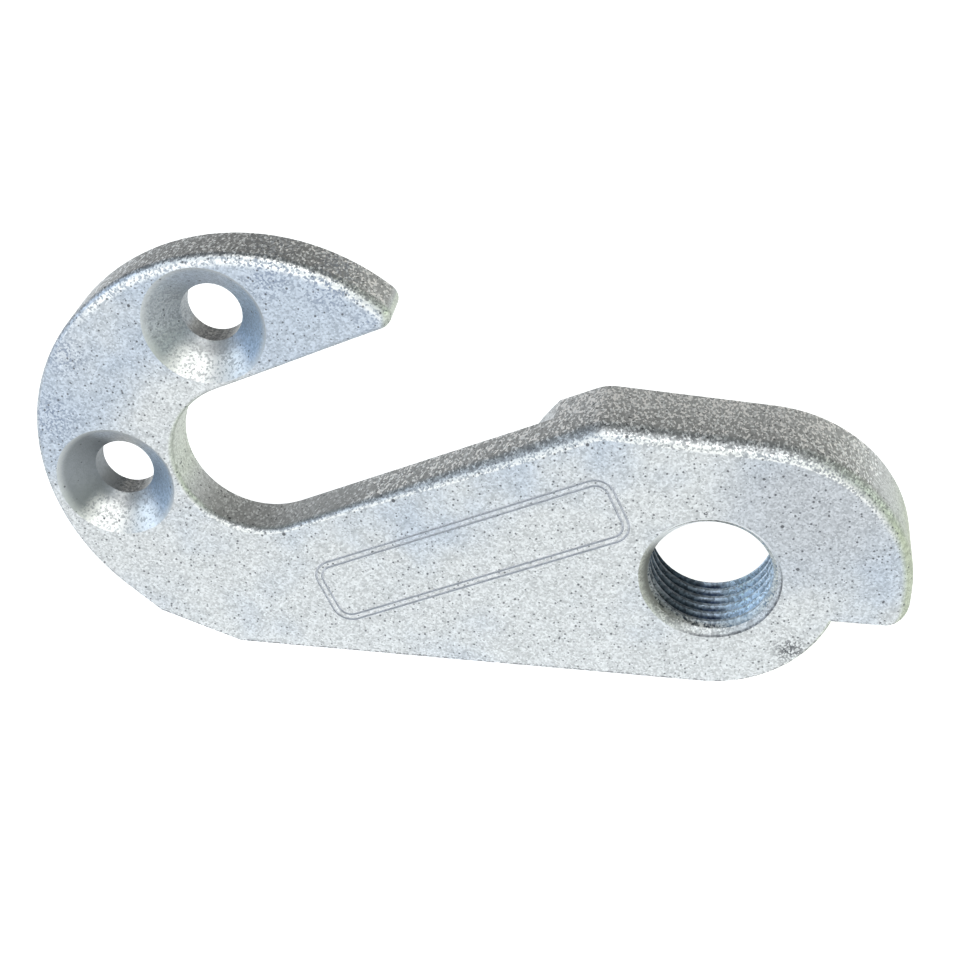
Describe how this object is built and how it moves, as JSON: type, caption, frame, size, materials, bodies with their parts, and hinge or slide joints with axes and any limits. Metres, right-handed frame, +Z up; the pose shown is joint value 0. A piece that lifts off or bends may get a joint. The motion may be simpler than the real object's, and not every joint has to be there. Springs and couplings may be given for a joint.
{
  "type": "bicycle dropout",
  "caption": "Hook-shaped bicycle dropout plate with an open axle slot, countersunk frame screw holes and a thick threaded eye with a stop ledge for the rear derailleur.",
  "frame": {"origin": "on the axis of the derailleur's threaded eye, in the plane of the hook's back face that seats on the frame", "axes": "+X along the straight lower edge, from the hook to the eye; +Y through the plate from its front face to its back; +Z up, from the lower edge to the hook's top"},
  "size_m": [0.0641, 0.0067, 0.033],
  "materials": {
    "blasted_aluminium": "bead-blasted, pale silver, matt with a fine sparkle"
  },
  "bodies": {
    "root": {"dropout": "blasted_aluminium"}
  },
  "joints": []
}
